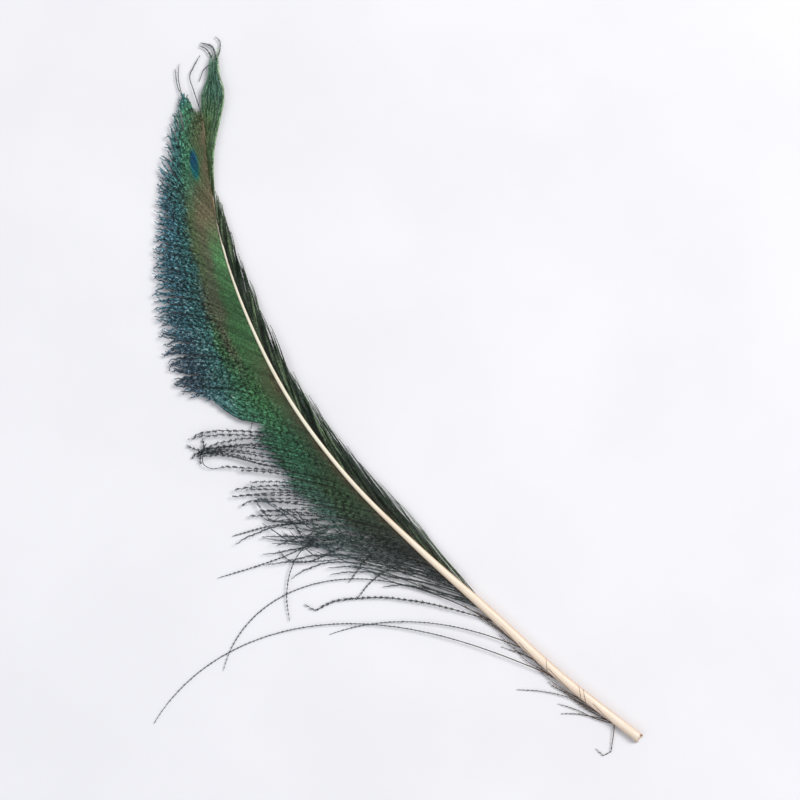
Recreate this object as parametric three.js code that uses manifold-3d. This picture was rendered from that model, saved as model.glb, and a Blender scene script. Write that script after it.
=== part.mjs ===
// A peacock's sword feather, lying flat on a surface with its outer side up.
// A curved shaft carries a wide vane on its outer side and a narrow one on its inner side.
// It grew as one piece, so it is one solid: the shaft, both vanes as combs of locks that are
// closed near the shaft and split towards the edge, the loose strands of the tip, a few long
// stray barbs below the vane, and thin wisps on the bare quill.
// Millimetres, +Z up, +Y from the cut end of the quill towards the tip.
// The outer vane lies on the -X side.
import * as THREE from "three";
import Module from "manifold-3d";

const wasm = await Module();
wasm.setup();

// Where the cut end lies, measured from the middle of the whole feather's footprint.
const CUT_END = { x: 67.43, y: -136.63 };

// The shaft's centre line in plan, from the cut end to the tip.
const SHAFT_ROUTE = [
  [0, 0],
  [-12, 32],
  [-21, 63],
  [-30.2, 94],
  [-37.4, 124],
  [-40.6, 155],
  [-38.9, 184],
  [-33.6, 211],
  [-24.2, 237],
  [-16, 252],
];
const SHAFT_STEP = 5;
const SHAFT_STEP_QUILL = 12;

// The shaft's half width: distance from the cut end, half width.
const SHAFT_WIDTH = [
  [0, 1.65],
  [65, 1.65],
  [80, 1.45],
  [96, 1.2],
  [111, 0.95],
  [142, 0.82],
  [190, 0.7],
  [218, 0.5],
  [262, 0.34],
];
const SHAFT_HEIGHT_RATIO = 0.9;
// The shaft's section, flat underneath, in half widths and half heights.
const SHAFT_SECTION = [
  [-0.6, -1],
  [0.6, -1],
  [1, -0.4],
  [0.98, 0.35],
  [0.6, 0.86],
  [0, 1],
  [-0.6, 0.86],
  [-0.98, 0.35],
  [-1, -0.4],
];
const CUT_SLANT = 1.1;

// The bare quill lies flat as far as QUILL_LENGTH, and beyond it the shaft arches off the surface.
const QUILL_LENGTH = 60;
const ARCH_HEIGHT = 3;

// The outer vane: distance along the shaft, barb length, and the angles in degrees
// between the barb and the shaft at the barb's root and at its tip.
const OUTER_BARBS = [
  [58, 60, 16, 84],
  [75, 70, 18, 88],
  [90, 76, 24, 72],
  [107, 66, 27, 62],
  [129, 58, 29, 58],
  [142, 50, 30, 56],
  [148, 33, 30, 50],
  [154, 33, 32, 56],
  [160, 40, 33, 68],
  [173, 39, 34, 72],
  [193, 34, 35, 74],
  [210, 28.5, 34, 70],
  [222, 25.5, 33, 60],
  [232, 25, 30, 42],
  [240, 27, 24, 22],
  [247, 31, 15, -4],
];
// A barb's angle follows its length to this power, so it bends most near its tip.
const BEND = 1.4;

// The outer vane's locks: distance along the shaft, share of the barb's length where the
// locks part, and the width of a parted lock as a share of its root.
const OUTER_LOCKS = [
  [60, 0.1, 0.3],
  [78, 0.2, 0.3],
  [95, 0.46, 0.34],
  [110, 0.55, 0.4],
  [146, 0.56, 0.45],
  [154, 0.72, 0.75],
  [165, 0.8, 0.86],
  [232, 0.8, 0.9],
  [240, 0.7, 0.85],
  [247, 0.5, 0.7],
];
const OUTER_START = 60;
const OUTER_END = 247;
const OUTER_PITCH = 4.6;
// Between these distances the barbs' ends are broken off, and only every third lock is whole.
const WORN_START = 93;
const WORN_END = 143;
const WORN_REACH = 0.7;

// The inner vane lies along the shaft: distance along the shaft, strand length, reach sideways.
const INNER_STRANDS = [
  [68, 46, 8],
  [110, 46, 7.5],
  [160, 40, 6],
  [200, 34, 5.4],
  [225, 32, 4.6],
  [262, 26, 3],
];
const INNER_START = 68;
const INNER_END = 242;
const INNER_PITCH = 10;
const INNER_SPLIT = 0.45;
const INNER_LOCK_WIDTH = 0.7;

const VANE_THICKNESS = 0.7;
const LOCK_RIDGE = 0.35;
const CAMBER = 1.5;
const TIP_WIDTH = 0.16;

// The tip's loose strands: distance along the shaft, length, root and tip angle.
const TIP_STRANDS = [
  [246, 30, 12, -4],
  [250, 31, 8, -12],
  [254, 31, 3, -14],
  [258, 25, 0, -14],
  [260, 27, 2, -2],
  [261, 22, -2, -18],
];
const TIP_STRAND_WIDTH = 2.2;

// The long stray barbs at the vane's lower end, in the same terms, and each one's bend.
const STRAY_BARBS = [
  [30.9, 152.9, 15.8, 98.8, 1.8],
  [57.3, 112.6, 14.5, 120, 1.8],
  [54.8, 73.2, 20.2, 56.7, 1.4],
  [45.8, 70.2, 19.1, 62.9, 1.4],
];
const STRAY_WIDTH = 1.5;

// The thin wisps on the bare quill, in the same terms.
const QUILL_WISPS = [
  [9, 15, 60, 150],
  [13, 28, 10, 42],
  [20, 32, 12, 38],
  [26, 40, 10, 34],
  [33, 46, 12, 30],
  [40, 52, 12, 40],
];
const WISP_WIDTH = 0.9;
// Each loose barb lies a hair higher than the one before it.
const BED_STEP = 0.03;

const OUTER_SIDE = 1;
const INNER_SIDE = -1;

// The value or values of a keyed table at a distance along the shaft, in straight lines.
function keyed(table, distance) {
  const last = table.length - 1;
  if (distance <= table[0][0]) return table[0].slice(1);
  if (distance >= table[last][0]) return table[last].slice(1);
  const i = table.findIndex((row) => row[0] > distance) - 1;
  const share = (distance - table[i][0]) / (table[i + 1][0] - table[i][0]);
  return table[i].slice(1).map((value, c) => value + (table[i + 1][c + 1] - value) * share);
}

// A fixed number between 0 and 1 for each whole number, so that every run gives the same feather.
function scatter(index, kind) {
  const value = Math.sin(index * 12.9898 + kind * 78.233) * 43758.5453;
  return value - Math.floor(value);
}

const shaftLine = new THREE.CatmullRomCurve3(
  SHAFT_ROUTE.map(([x, y]) => new THREE.Vector3(x, y, 0)),
  false,
  "catmullrom",
  0.5,
);
shaftLine.arcLengthDivisions = 2000;
const SHAFT_LENGTH = shaftLine.getLength();

// A place on the shaft's centre line in plan, and the shaft's heading there.
// Past the tip the line goes straight on.
function shaftAt(distance) {
  const share = THREE.MathUtils.clamp(distance / SHAFT_LENGTH, 0, 1);
  const point = shaftLine.getPointAt(share);
  const tangent = shaftLine.getTangentAt(share);
  const past = distance - share * SHAFT_LENGTH;
  return {
    x: point.x + tangent.x * past,
    y: point.y + tangent.y * past,
    heading: Math.atan2(tangent.y, tangent.x),
  };
}

function shaftHalfWidth(distance) {
  return keyed(SHAFT_WIDTH, distance)[0];
}

function archAt(distance) {
  if (distance <= QUILL_LENGTH) return 0;
  const share = Math.min(1, (distance - QUILL_LENGTH) / (SHAFT_LENGTH - QUILL_LENGTH));
  return ARCH_HEIGHT * Math.sin(Math.PI * share) ** 2;
}

function shaftMiddleHeight(distance) {
  return archAt(distance) + shaftHalfWidth(distance) * SHAFT_HEIGHT_RATIO;
}

// A barb's line in plan, from its root on the shaft, turning from its root angle to its tip
// angle. It gives a function of the share of the barb's length.
function barbLine(side, distance, [length, rootAngle, tipAngle], bend = BEND) {
  const steps = 24;
  const root = shaftAt(distance);
  const points = [[root.x, root.y]];
  for (let k = 0; k < steps; k++) {
    const share = (k + 0.5) / steps;
    const turn = rootAngle + (tipAngle - rootAngle) * share ** bend;
    const angle = root.heading + side * THREE.MathUtils.degToRad(turn);
    const [x, y] = points[k];
    points.push([x + (Math.cos(angle) * length) / steps, y + (Math.sin(angle) * length) / steps]);
  }
  return (share) => {
    const place = THREE.MathUtils.clamp(share, 0, 1) * steps;
    const k = Math.min(steps - 1, Math.floor(place));
    const rest = place - k;
    return [0, 1].map((c) => points[k][c] + (points[k + 1][c] - points[k][c]) * rest);
  };
}

// An inner strand's line in plan: it leaves the shaft slowly, then runs along it.
function strandLine(distance, [length, reach]) {
  return (share) => {
    const at = shaftAt(distance + length * share);
    const away = INNER_SIDE * reach * (1 - (1 - share) ** 1.6);
    return [at.x - Math.sin(at.heading) * away, at.y + Math.cos(at.heading) * away];
  };
}

// The height of a vane's middle: it leaves the shaft's side, swells a little and comes down
// to the surface at the edge.
function vaneHeight(distance, share) {
  const fall = (1 - share) ** 1.4;
  const rest = VANE_THICKNESS / 2;
  const root = Math.max(rest, shaftMiddleHeight(distance));
  const swell = CAMBER * Math.min(1, (distance - 40) / 60) * share * (1 - share) * 2;
  return rest + (root - rest) * fall + swell;
}

// A solid from its vertices and triangles, turned so that its faces point out.
function solidOf(vertices, triangles) {
  const [a, b, c] = [new THREE.Vector3(), new THREE.Vector3(), new THREE.Vector3()];
  let volume = 0;
  for (const [i, j, k] of triangles) {
    a.fromArray(vertices[i]);
    b.fromArray(vertices[j]);
    c.fromArray(vertices[k]);
    volume += a.dot(b.cross(c));
  }
  const outward = volume > 0 ? triangles : triangles.map(([i, j, k]) => [i, k, j]);
  return new wasm.Manifold(
    new wasm.Mesh({
      numProp: 3,
      vertProperties: new Float32Array(vertices.flat()),
      triVerts: new Uint32Array(outward.flat()),
    }),
  );
}

// A closed skin over a row of sections that all have the same number of corners.
function skin(sections) {
  const corners = sections[0].length;
  const triangles = [];
  for (let i = 0; i + 1 < sections.length; i++) {
    for (let c = 0; c < corners; c++) {
      const next = (c + 1) % corners;
      const [here, there] = [i * corners, (i + 1) * corners];
      triangles.push([here + c, here + next, there + next], [here + c, there + next, there + c]);
    }
  }
  const end = (sections.length - 1) * corners;
  for (let c = 1; c + 1 < corners; c++) {
    triangles.push([0, c + 1, c], [end, end + c, end + c + 1]);
  }
  return solidOf(sections.flat(), triangles);
}

function shaftSolid() {
  const distances = [0];
  while (distances.at(-1) < SHAFT_LENGTH - SHAFT_STEP) {
    const step = distances.at(-1) < QUILL_LENGTH ? SHAFT_STEP_QUILL : SHAFT_STEP;
    distances.push(distances.at(-1) + step);
  }
  distances.push(SHAFT_LENGTH);
  return skin(
    distances.map((distance) => {
      const halfWidth = shaftHalfWidth(distance);
      return SHAFT_SECTION.map(([across, up]) => {
        const slant = distance === 0 ? CUT_SLANT * (up + 1) : 0;
        const at = shaftAt(distance + slant);
        return [
          at.x - Math.sin(at.heading) * across * halfWidth,
          at.y + Math.cos(at.heading) * across * halfWidth,
          archAt(distance) + halfWidth * SHAFT_HEIGHT_RATIO * (1 + up),
        ];
      });
    }),
  );
}

// A thin strip with a flat underside and a ridge on top, along a line in plan.
function strip(line, heightAt, width, steps) {
  const sections = [];
  for (let k = 0; k <= steps; k++) {
    const share = k / steps;
    const [x, y] = line(share);
    const [x0, y0] = line(Math.max(0, share - 0.5 / steps));
    const [x1, y1] = line(Math.min(1, share + 0.5 / steps));
    const heading = Math.atan2(y1 - y0, x1 - x0);
    const half = (width / 2) * (1 - 0.7 * share ** 3);
    const [acrossX, acrossY] = [-Math.sin(heading) * half, Math.cos(heading) * half];
    const floor = heightAt(share);
    sections.push([
      [x - acrossX, y - acrossY, floor],
      [x + acrossX, y + acrossY, floor],
      [x, y, floor + VANE_THICKNESS],
    ]);
  }
  return skin(sections);
}

// A vane as a comb. Each barb in the list is a boundary between two locks. As far as its split
// the boundary is shared, and beyond it each lock narrows to a tip of its own.
function comb(barbs, locks, closedSteps) {
  const vertices = [];
  const triangles = [];
  const half = VANE_THICKNESS / 2;
  const add = (x, y, z) => vertices.push([x, y, z]) - 1;
  const face = (a, b, c) => triangles.push([a, b, c]);
  const quad = (a, b, c, d) => {
    face(a, b, c);
    face(a, c, d);
  };
  const boundaries = barbs.map((barb) =>
    Array.from({ length: closedSteps + 1 }, (_, k) => {
      const [x, y, z] = barb.at((barb.split * k) / closedSteps);
      return { point: [x, y, z], top: add(x, y, z + half), bottom: add(x, y, z - half) };
    }),
  );
  const between = (p, q, share) => p.map((value, c) => value + (q[c] - value) * share);
  const ridgeOver = (p, q) => {
    const [x, y, z] = between(p, q, 0.5);
    return add(x, y, z + half + LOCK_RIDGE);
  };
  locks.forEach((lock, i) => {
    const near = boundaries[i];
    const far = boundaries[i + 1];
    const ridges = near.map((station, k) => ridgeOver(station.point, far[k].point));
    for (let k = 0; k < closedSteps; k++) {
      quad(near[k].top, ridges[k], ridges[k + 1], near[k + 1].top);
      quad(ridges[k], far[k].top, far[k + 1].top, ridges[k + 1]);
      quad(near[k].bottom, near[k + 1].bottom, far[k + 1].bottom, far[k].bottom);
      if (i === 0) quad(near[k].top, near[k + 1].top, near[k + 1].bottom, near[k].bottom);
      if (i === locks.length - 1) {
        quad(far[k + 1].top, far[k].top, far[k].bottom, far[k + 1].bottom);
      }
    }
    quad(far[0].top, near[0].top, near[0].bottom, far[0].bottom);
    face(far[0].top, ridges[0], near[0].top);

    let last = {
      nearTop: near[closedSteps].top,
      nearBottom: near[closedSteps].bottom,
      farTop: far[closedSteps].top,
      farBottom: far[closedSteps].bottom,
      ridge: ridges[closedSteps],
    };
    for (let k = 1; k <= lock.openSteps; k++) {
      const share = k / lock.openSteps;
      const nearPoint = barbs[i].at(THREE.MathUtils.lerp(barbs[i].split, lock.reach, share));
      const farPoint = barbs[i + 1].at(
        THREE.MathUtils.lerp(barbs[i + 1].split, lock.reach, share),
      );
      const width = THREE.MathUtils.lerp(lock.width, TIP_WIDTH, share ** 1.5);
      const middle = 0.5 + lock.drift * share;
      const [nx, ny, nz] = between(nearPoint, farPoint, middle - width / 2);
      const [fx, fy, fz] = between(nearPoint, farPoint, middle + width / 2);
      const raised = lock.tipLift * share ** 2;
      const next = {
        nearTop: add(nx, ny, nz + half + raised),
        nearBottom: add(nx, ny, nz - half + raised),
        farTop: add(fx, fy, fz + half + raised),
        farBottom: add(fx, fy, fz - half + raised),
        ridge: ridgeOver([nx, ny, nz + raised], [fx, fy, fz + raised]),
      };
      quad(last.nearTop, last.ridge, next.ridge, next.nearTop);
      quad(last.ridge, last.farTop, next.farTop, next.ridge);
      quad(last.nearBottom, next.nearBottom, next.farBottom, last.farBottom);
      quad(last.nearTop, next.nearTop, next.nearBottom, last.nearBottom);
      quad(next.farTop, last.farTop, last.farBottom, next.farBottom);
      last = next;
    }
    quad(last.nearTop, last.farTop, last.farBottom, last.nearBottom);
    face(last.nearTop, last.ridge, last.farTop);
  });
  return solidOf(vertices, triangles);
}

// Moves a root point across the shaft's middle, so that the vane grows out of the shaft.
function rootedAcross(side, distance, [x, y], share) {
  const { heading } = shaftAt(distance);
  const across = -side * shaftHalfWidth(distance) * 0.3 * Math.max(0, 1 - share * 12);
  return [x - Math.sin(heading) * across, y + Math.cos(heading) * across];
}

function outerVane() {
  const barbs = [];
  for (let s = OUTER_START; s <= OUTER_END; s += OUTER_PITCH) {
    const line = barbLine(OUTER_SIDE, s, keyed(OUTER_BARBS, s));
    barbs.push({
      distance: s,
      split: keyed(OUTER_LOCKS, s)[0] + 0.06 * (scatter(barbs.length, 1) - 0.5),
      at: (share) => [
        ...rootedAcross(OUTER_SIDE, s, line(share), share),
        vaneHeight(s, share),
      ],
    });
  }
  const locks = barbs.slice(1).map((barb, i) => {
    const worn = barb.distance > WORN_START && barb.distance < WORN_END && i % 3 !== 0;
    const reach = worn ? WORN_REACH : 1;
    return {
      reach: reach - 0.05 * scatter(i, 2),
      width: keyed(OUTER_LOCKS, barb.distance)[1],
      drift: 0.5 * (scatter(i, 3) - 0.5),
      tipLift: 0.9 * scatter(i, 4),
      openSteps: Math.round(2.5 + 6 * (reach - barb.split)),
    };
  });
  return comb(barbs, locks, 4);
}

function innerVane() {
  const barbs = [];
  for (let s = INNER_START; s <= INNER_END; s += INNER_PITCH) {
    const line = strandLine(s, keyed(INNER_STRANDS, s));
    barbs.push({
      split: INNER_SPLIT + 0.1 * (scatter(barbs.length, 5) - 0.5),
      at: (share) => [
        ...rootedAcross(INNER_SIDE, s, line(share), share),
        vaneHeight(s, share),
      ],
    });
  }
  const locks = barbs.slice(1).map((barb, i) => ({
    reach: 1 - 0.1 * scatter(i, 6),
    width: INNER_LOCK_WIDTH,
    drift: 0.3 * (scatter(i, 7) - 0.5),
    tipLift: 0.6 * scatter(i, 8),
    openSteps: 4,
  }));
  return comb(barbs, locks, 4);
}

// Loose barbs from inside the shaft down to the surface, which each one reaches at the share
// of its length given as landing.
function looseBarbs(shapes, width, steps, landing) {
  return shapes.map(([distance, length, rootAngle, tipAngle, bend = BEND], i) => {
    const line = barbLine(OUTER_SIDE, distance, [length, rootAngle, tipAngle], bend);
    const bed = BED_STEP * (i + 1);
    const rootHeight = Math.max(bed, shaftMiddleHeight(distance) - VANE_THICKNESS / 2);
    const heightAt = (share) => bed + (rootHeight - bed) * Math.max(0, 1 - share / landing) ** 1.3;
    return strip(line, heightAt, width, steps);
  });
}

function featherSolid() {
  const pieces = [
    outerVane(),
    innerVane(),
    ...looseBarbs(TIP_STRANDS, TIP_STRAND_WIDTH, 8, 1),
    ...looseBarbs(STRAY_BARBS, STRAY_WIDTH, 16, 0.5),
    ...looseBarbs(QUILL_WISPS, WISP_WIDTH, 7, 0.6),
  ];
  return pieces.reduce((whole, piece) => whole.add(piece), shaftSolid());
}

// A three.js geometry of a solid, moved so that the origin is under the footprint's middle.
function geometryOf(solid) {
  const { vertProperties, triVerts } = solid.getMesh();
  const geometry = new THREE.BufferGeometry();
  geometry.setAttribute("position", new THREE.BufferAttribute(vertProperties, 3));
  geometry.setIndex(new THREE.BufferAttribute(triVerts, 1));
  geometry.translate(CUT_END.x, CUT_END.y, 0);
  geometry.computeVertexNormals();
  return geometry;
}

const barbMaterial = new THREE.MeshStandardMaterial({
  color: 0x2f4a33,
  roughness: 0.45,
  metalness: 0.35,
  flatShading: true,
});

const feather = new THREE.Mesh(geometryOf(featherSolid()), barbMaterial);
feather.name = "feather";

const part = new THREE.Group();
part.add(feather);

export default part;
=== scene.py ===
"""A peacock's sword feather lying on a pale surface, seen from straight above.

The plan is the solid's own: a curved shaft, a wide outer vane of about 250 barbs, a narrow
inner vane, the loose strands of the tip, long stray barbs and wisps on the bare quill.
Every barb is a thin stem with two rows of barbules. Near the shaft the rows lie flat and
overlap like tiles, and further out they twist, which gives the knitted look of the edge.
Tables and functions are in millimetres; only the finished meshes are in metres.
"""

import math

import bpy
import numpy as np
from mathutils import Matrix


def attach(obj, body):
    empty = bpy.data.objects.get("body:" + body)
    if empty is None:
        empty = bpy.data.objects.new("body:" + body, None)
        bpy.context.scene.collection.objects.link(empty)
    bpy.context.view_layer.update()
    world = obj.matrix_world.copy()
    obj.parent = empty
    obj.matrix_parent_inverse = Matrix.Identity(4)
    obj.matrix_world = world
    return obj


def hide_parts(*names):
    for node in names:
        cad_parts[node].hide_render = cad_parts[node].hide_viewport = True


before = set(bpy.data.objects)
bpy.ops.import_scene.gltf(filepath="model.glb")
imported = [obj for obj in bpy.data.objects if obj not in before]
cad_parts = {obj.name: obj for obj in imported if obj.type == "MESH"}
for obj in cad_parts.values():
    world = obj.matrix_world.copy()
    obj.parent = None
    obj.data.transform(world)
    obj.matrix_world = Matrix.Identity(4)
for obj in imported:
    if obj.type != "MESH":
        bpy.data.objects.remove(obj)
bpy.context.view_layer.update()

MM = 0.001
NODE = "feather"
random = np.random.default_rng(7)
uniform = random.uniform
normal = random.normal
norm = np.linalg.norm

# Where the cut end lies, measured from the middle of the feather's footprint.
CUT_END = np.array([67.43, -136.63])

# The shaft's centre line in plan, from the cut end to the tip.
SHAFT_ROUTE = [
    (0, 0), (-12, 32), (-21, 63), (-30.2, 94), (-37.4, 124),
    (-40.6, 155), (-38.9, 184), (-33.6, 211), (-24.2, 237), (-16, 252),
]

# The shaft's half width: distance from the cut end, half width.
SHAFT_WIDTH = [
    (0, 1.62), (65, 1.6), (80, 1.35), (96, 1.1), (115, 0.82), (135, 0.7),
    (168, 0.62), (200, 0.48), (218, 0.38), (240, 0.28), (262, 0.16),
]
SHAFT_HEIGHT_RATIO = 0.9
QUILL_LENGTH = 60
ARCH_HEIGHT = 3

# The outer vane: distance along the shaft, barb length, and the angles in degrees between
# the barb and the shaft at the barb's root and at its tip.
OUTER_BARBS = [
    (66, 34, 18, 32), (76, 50, 23, 46), (90, 62, 26, 56),
    (107, 66, 27, 62), (129, 58, 29, 60), (143, 46, 30, 70),
    (147.5, 38, 30, 62), (152.5, 33, 31, 57), (155.5, 35, 32, 60),
    (159, 41, 33, 66), (173, 39, 34, 72), (193, 34, 35, 74),
    (210, 28.5, 34, 70), (222, 25.5, 33, 60), (232, 27, 29, 32),
    (238, 27, 22, 22), (243, 28, 14, 13), (246, 26, 12, 11),
    (250, 16, 9, 6), (256, 9, 8, 0), (262, 8, 4, 0),
]
BEND = 1.4

# The pieces of the outer vane: name, first and last distance, and the pitch of the barbs.
OUTER_ZONES = [
    ("outer_vane_base", 68, 92, 1.05),
    ("outer_vane_lower", 92, 148, 0.82),
    ("outer_vane_notch", 148, 166, 0.74),
    ("outer_vane_middle", 166, 204, 0.90),
    ("outer_vane_upper", 204, 220, 0.80),
    ("outer_vane_end", 220, 256, 0.48),
]

# How the outer vane looks: distance along the shaft, the share of a barb where its rows start
# to turn, half widths by the shaft and outside, how far a barb strays in degrees, how deep its
# outer part is crinkled, how much neighbouring ends draw together, the length of half a turn,
# and the share where the dark bed ends.
LOOK_COLUMNS = ("start", "near_width", "far_width", "stray", "crinkle", "clumping", "half_turn", "bed_end")
OUTER_LOOK = [
    (60, 0.02, 0.24, 0.26, 12, 0.10, 0.0, 3.0, 0.04),
    (80, 0.03, 0.24, 0.27, 13, 0.10, 0.0, 3.0, 0.06),
    (95, 0.03, 0.24, 0.28, 10, 0.12, 0.0, 2.8, 0.22),
    (108, 0.03, 0.28, 0.30, 6, 0.14, 0.1, 2.6, 0.40),
    (125, 0.04, 0.32, 0.30, 3, 0.16, 0.1, 2.4, 0.52),
    (140, 0.04, 0.34, 0.32, 2.5, 0.18, 0.1, 2.4, 0.60),
    (148, 0.07, 0.40, 0.38, 2, 0.20, 0.08, 2.2, 0.98),
    (165, 0.13, 0.50, 0.38, 2, 0.24, 0.1, 2.1, 0.97),
    (180, 0.22, 0.60, 0.37, 2, 0.26, 0.1, 2.0, 0.96),
    (200, 0.33, 0.66, 0.37, 2, 0.26, 0.05, 2.0, 0.97),
    (225, 0.37, 0.64, 0.36, 2, 0.24, 0.05, 2.0, 0.97),
    (234, 0.37, 0.56, 0.34, 3, 0.18, 0.0, 2.4, 0.90),
    (241, 0.36, 0.46, 0.30, 3, 0.16, 0.0, 2.6, 0.72),
    (250, 0.30, 0.38, 0.28, 4, 0.14, 0.0, 3.0, 0.66),
]

# Up to the tangle's end a share of the barbs is kinked, and curls spread in degrees. In the
# worn part every other barb is broken off, and in the notch all are.
TANGLE_END = 112
KINKED = 0.6
KINK_ANGLES = (-60, 25)
CURL_SPREAD = 22
WORN_START = 99
NOTCH_START = 143.5
NOTCH_END = 147.5
CLUMP_START = 126

# What is left of a barb: in the notch, of the worn part's broken barbs and of the others
# there, and near the quill, where the share BASE_BROKEN of the barbs is broken off.
NOTCH_KEPT = (0.45, 0.54)
BROKEN_KEPT = (0.44, 0.52)
BRISTLE_KEPT = (0.64, 0.86)
BASE_KEPT = (0.45, 0.9)
BASE_BROKEN = 0.35

# The worn part's longer barbs are bare and dark from the middle on, like bristles.
SHORTEST_BRISTLE = 0.55
BRISTLE_START = 0.38
BRISTLE_FULL = 0.5
BRISTLE_SWELL = 1.3

# What draws the ends of barbs: the clump, the outer corner above the notch, and the peak of
# the vane. For each: its place in plan, how near an end has to be, first and last distance of
# the barbs, the pull on the first, how much it grows up to which distance, and the share of
# a barb where the bend begins.
DRAWING_PLACES = [
    ((-75.3, 158.2), 12, CLUMP_START, 141, 0.8, 0.0, 141, 0.5),
    ((-63.4, 174.6), 18, NOTCH_END, 156.5, 0.92, -0.5, 156.5, 0.66),
    ((-16.8, 264.0), 26, 226, 249, 0.0, 0.62, 241, 0.5),
]

# Neighbouring ends draw together in locks. Rows are a little rolled, then start to twist over
# a length of TURN_IN, but only part of the way. Roots start beside the shaft's middle.
LOCK_PITCH = 3.4
CRINKLE_LENGTH = 2.2
TURN_IN = 7
FLAT_ROLL = math.radians(10)
VANE_TWIST = 0.5
BED_WIDTH = 0.62
ROOT_SHIFT = 0.45

# The inner vane: distance along the shaft, strand length, reach sideways.
INNER_STRANDS = [
    (68, 46, 6.5), (110, 44, 6), (160, 38, 5),
    (195, 32, 3.8), (214, 22, 2.2), (224, 14, 1.2),
]
INNER_PITCH = 1.15

# The long stray barbs: distance along the shaft, length, root and tip angle, bend, half width.
STRAY_BARBS = [
    (30.9, 152.9, 15.8, 98.8, 1.8, 0.20),
    (57.3, 112.6, 14.5, 120, 1.8, 0.20),
    (45.8, 70.2, 19.1, 62.9, 1.4, 0.20),
]
HOOKED_BARB = [
    (-18.4, 55.5), (-26.0, 64.5), (-35.4, 74.4), (-42.8, 80.8), (-50.6, 86.5),
    (-62.7, 92.5), (-69.8, 93.3), (-70.7, 94.1), (-72.3, 97.0),
]

# The wisps beside the quill, as plan points from the cut end.
QUILL_WISPS = [
    [(-4.5, 9.5), (-6.2, 6.8), (-10.2, 1.9), (-10.6, 1.4), (-13.2, 1.5), (-13.6, 1.9), (-14.4, 4.6)],
    [(-3.0, 6.0), (-8.6, 17.1), (-13.6, 24.7), (-20.0, 30.8), (-26.7, 35.5)],
    [(-3.0, 7.0), (-9.2, 13.5), (-13.0, 19.2), (-17.3, 24.1)],
    [(-4.0, 9.0), (-9.3, 14.2), (-13.7, 18.0), (-18.2, 20.8)],
    [(-6.5, 18.0), (-12.6, 33.6), (-17.0, 42.0), (-23.6, 50.5)],
]

# Strands that lie over the quill: distance, length, and how far to the left of the middle
# each starts and ends.
CLINGING_STRANDS = [
    (11.0, 9.0, 1.5, 0.2), (22.0, 3.4, 1.5, -1.4), (24.0, 3.2, 1.5, -1.4),
    (29.0, 10.0, 1.5, 0.4), (38.5, 3.2, 1.5, -1.4), (43.0, 9.0, 1.5, 0.6),
    (52.0, 8.0, 1.5, 0.8),
]

# Strands that cross in the tangle, by the clump and over the notch: half width, plan points.
CROSSING_STRANDS = [
    (0.20, [(-58.0, 113.5), (-64.4, 112.7), (-70.7, 108.7), (-75.9, 102.5), (-79.5, 94.9)]),
    (0.26, [(-40.0, 110.0), (-53.0, 114.7), (-63.2, 113.6), (-75.1, 115.3), (-92.2, 119.6)]),
    (0.36, [(-36.0, 114.0), (-52.2, 118.7), (-58.7, 121.0), (-68.8, 125.5), (-80.8, 129.0)]),
    (0.30, [(-36.0, 92.0), (-44.1, 92.4), (-50.2, 91.6), (-55.4, 89.7)]),
    (0.32, [(-38.0, 100.0), (-47.5, 98.9), (-51.9, 97.1), (-55.7, 95.5)]),
    (0.34, [(-42.0, 106.0), (-54.7, 107.3), (-62.6, 108.2), (-68.7, 112.0), (-70.2, 116.8)]),
    (0.42, [(-71.0, 157.6), (-73.2, 158.9), (-73.0, 160.6), (-72.5, 162.0)]),
    (0.40, [(-73.6, 158.0), (-76.1, 160.2), (-77.3, 161.6), (-77.9, 162.9)]),
    (0.42, [(-72.0, 160.0), (-75.2, 158.6), (-77.4, 159.0), (-78.8, 158.2)]),
    (0.36, [(-73.0, 159.8), (-75.8, 157.6), (-76.8, 156.4), (-77.2, 155.0)]),
    (0.10, [(-75.4, 157.0), (-76.5, 154.6), (-74.9, 151.9), (-70.9, 150.1)]),
    (0.12, [(-50.0, 161.4), (-52.6, 159.6), (-55.8, 157.6), (-58.0, 154.9)]),
    (0.12, [(-47.0, 155.6), (-49.6, 154.7), (-53.1, 153.9), (-57.6, 153.2)]),
]

# The tangle's two long edges, from the shaft outwards, and how many strands cross between them.
TANGLE_LOW = [(-33.5, 83.5), (-46.0, 95.0), (-60.0, 108.5), (-76.0, 121.0)]
TANGLE_HIGH = [(-37.0, 104.0), (-50.0, 121.0), (-62.0, 131.0), (-73.0, 137.0)]
TANGLE_STRANDS = 26

# The hairs at the tip: half width, and plan points.
TIP_WISPS = [
    (0.10, [(-18.4, 261.0), (-17.9, 266.8), (-15.6, 272.4)]),
    (0.10, [(-11.4, 259.6), (-13.2, 257.2), (-15.4, 256.6)]),
    (0.10, [(-4.6, 267.6), (-7.6, 267.0), (-10.8, 264.6)]),
    (0.10, [(-21.0, 248.0), (-19.1, 257.2), (-17.8, 264.8), (-16.1, 269.4), (-13.6, 273.0)]),
    (0.16, [(-17.0, 250.0), (-14.1, 262.6), (-12.8, 267.4), (-9.6, 269.9), (-6.2, 271.8)]),
    (0.34, [(-12.0, 254.0), (-4.9, 263.0), (-1.9, 268.6), (-1.2, 272.4), (-3.6, 275.2)]),
    (0.24, [(-12.0, 256.0), (-4.0, 267.6), (-3.1, 270.6), (-3.3, 272.8), (-4.6, 274.6)]),
    (0.20, [(-11.0, 255.0), (-2.5, 266.8), (0.5, 269.9), (2.0, 272.4), (1.6, 274.4)]),
]

# The plume at the tip: where its strands leave the shaft, its middle and its top in plan,
# and its half width at both.
PLUME_STRANDS = 38
PLUME_FEET = (232, 258)
PLUME_MIDDLE = np.array([-10.4, 256.6])
PLUME_TOP = np.array([-1.8, 269.7])
PLUME_SPREAD = 3.7
PLUME_TOP_SPREAD = 0.9

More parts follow.
